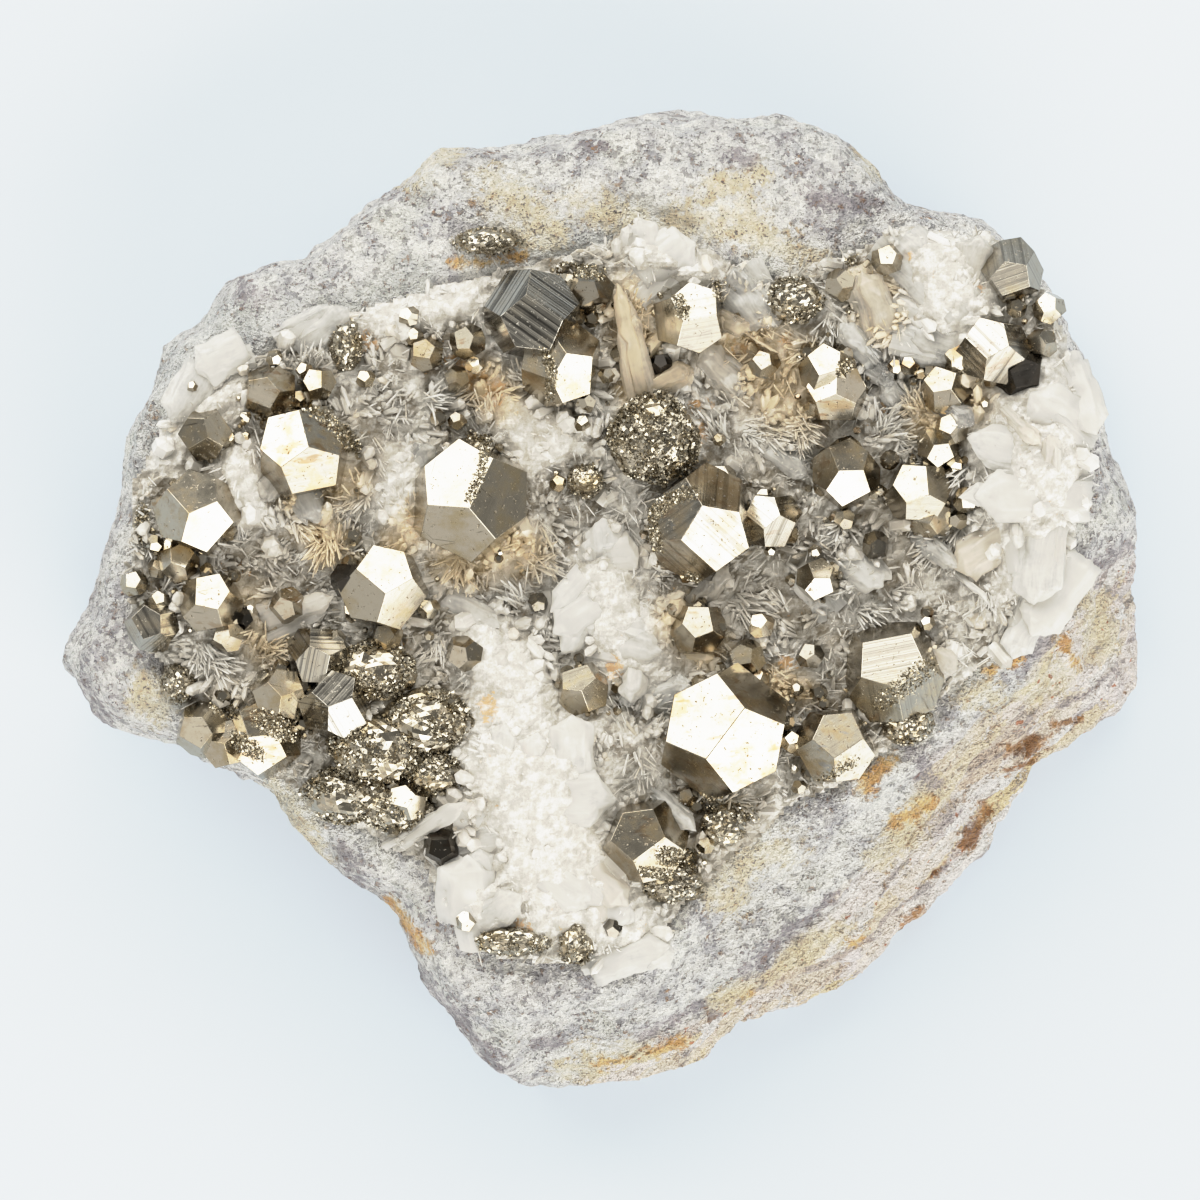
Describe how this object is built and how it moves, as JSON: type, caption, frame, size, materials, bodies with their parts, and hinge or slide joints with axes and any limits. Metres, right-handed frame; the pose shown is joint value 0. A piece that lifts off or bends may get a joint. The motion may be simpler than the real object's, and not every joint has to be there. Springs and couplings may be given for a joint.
{
  "type": "pyrite with quartz mineral specimen",
  "caption": "Hand specimen of pale rock with pyrite crystals, massive pyrite and a druse of quartz on its upper face; lies on a flat rest.",
  "frame": {"origin": "middle of the specimen's plan, on the surface that it lies on", "axes": "+Z out of the crystal face, +X along the greatest width, +Y towards the back rim"},
  "size_m": [0.15, 0.1364, 0.0452],
  "materials": {
    "rock": "broken, dull, pale grey and white with dark specks, cream, ochre and rust stains",
    "pyrite": "natural pale brass-yellow crystal faces with fine striations, bright to lightly tarnished",
    "quartz": "clear, milky and grey crystals with glassy faces"
  },
  "bodies": {
    "root": {"pyrite_01": "pyrite", "pyrite_02": "pyrite", "pyrite_03": "pyrite", "pyrite_04": "pyrite", "pyrite_05": "pyrite", "pyrite_06": "pyrite", "pyrite_07": "pyrite", "pyrite_08": "pyrite", "pyrite_09": "pyrite", "pyrite_10": "pyrite", "pyrite_11": "pyrite", "pyrite_12": "pyrite", "pyrite_13": "pyrite", "pyrite_14": "pyrite", "pyrite_15": "pyrite", "pyrite_16": "pyrite", "pyrite_17": "pyrite", "pyrite_18": "pyrite", "pyrite_19": "pyrite", "pyrite_20": "pyrite", "pyrite_21": "pyrite", "pyrite_22": "pyrite", "pyrite_23": "pyrite", "pyrite_24": "pyrite", "pyrite_25": "pyrite", "pyrite_26": "pyrite", "pyrite_27": "pyrite", "pyrite_28": "pyrite", "pyrite_29": "pyrite", "pyrite_30": "pyrite", "pyrite_31": "pyrite", "quartz_01": "quartz", "quartz_02": "quartz", "quartz_03": "quartz", "rock_matrix": "rock"}
  },
  "joints": []
}
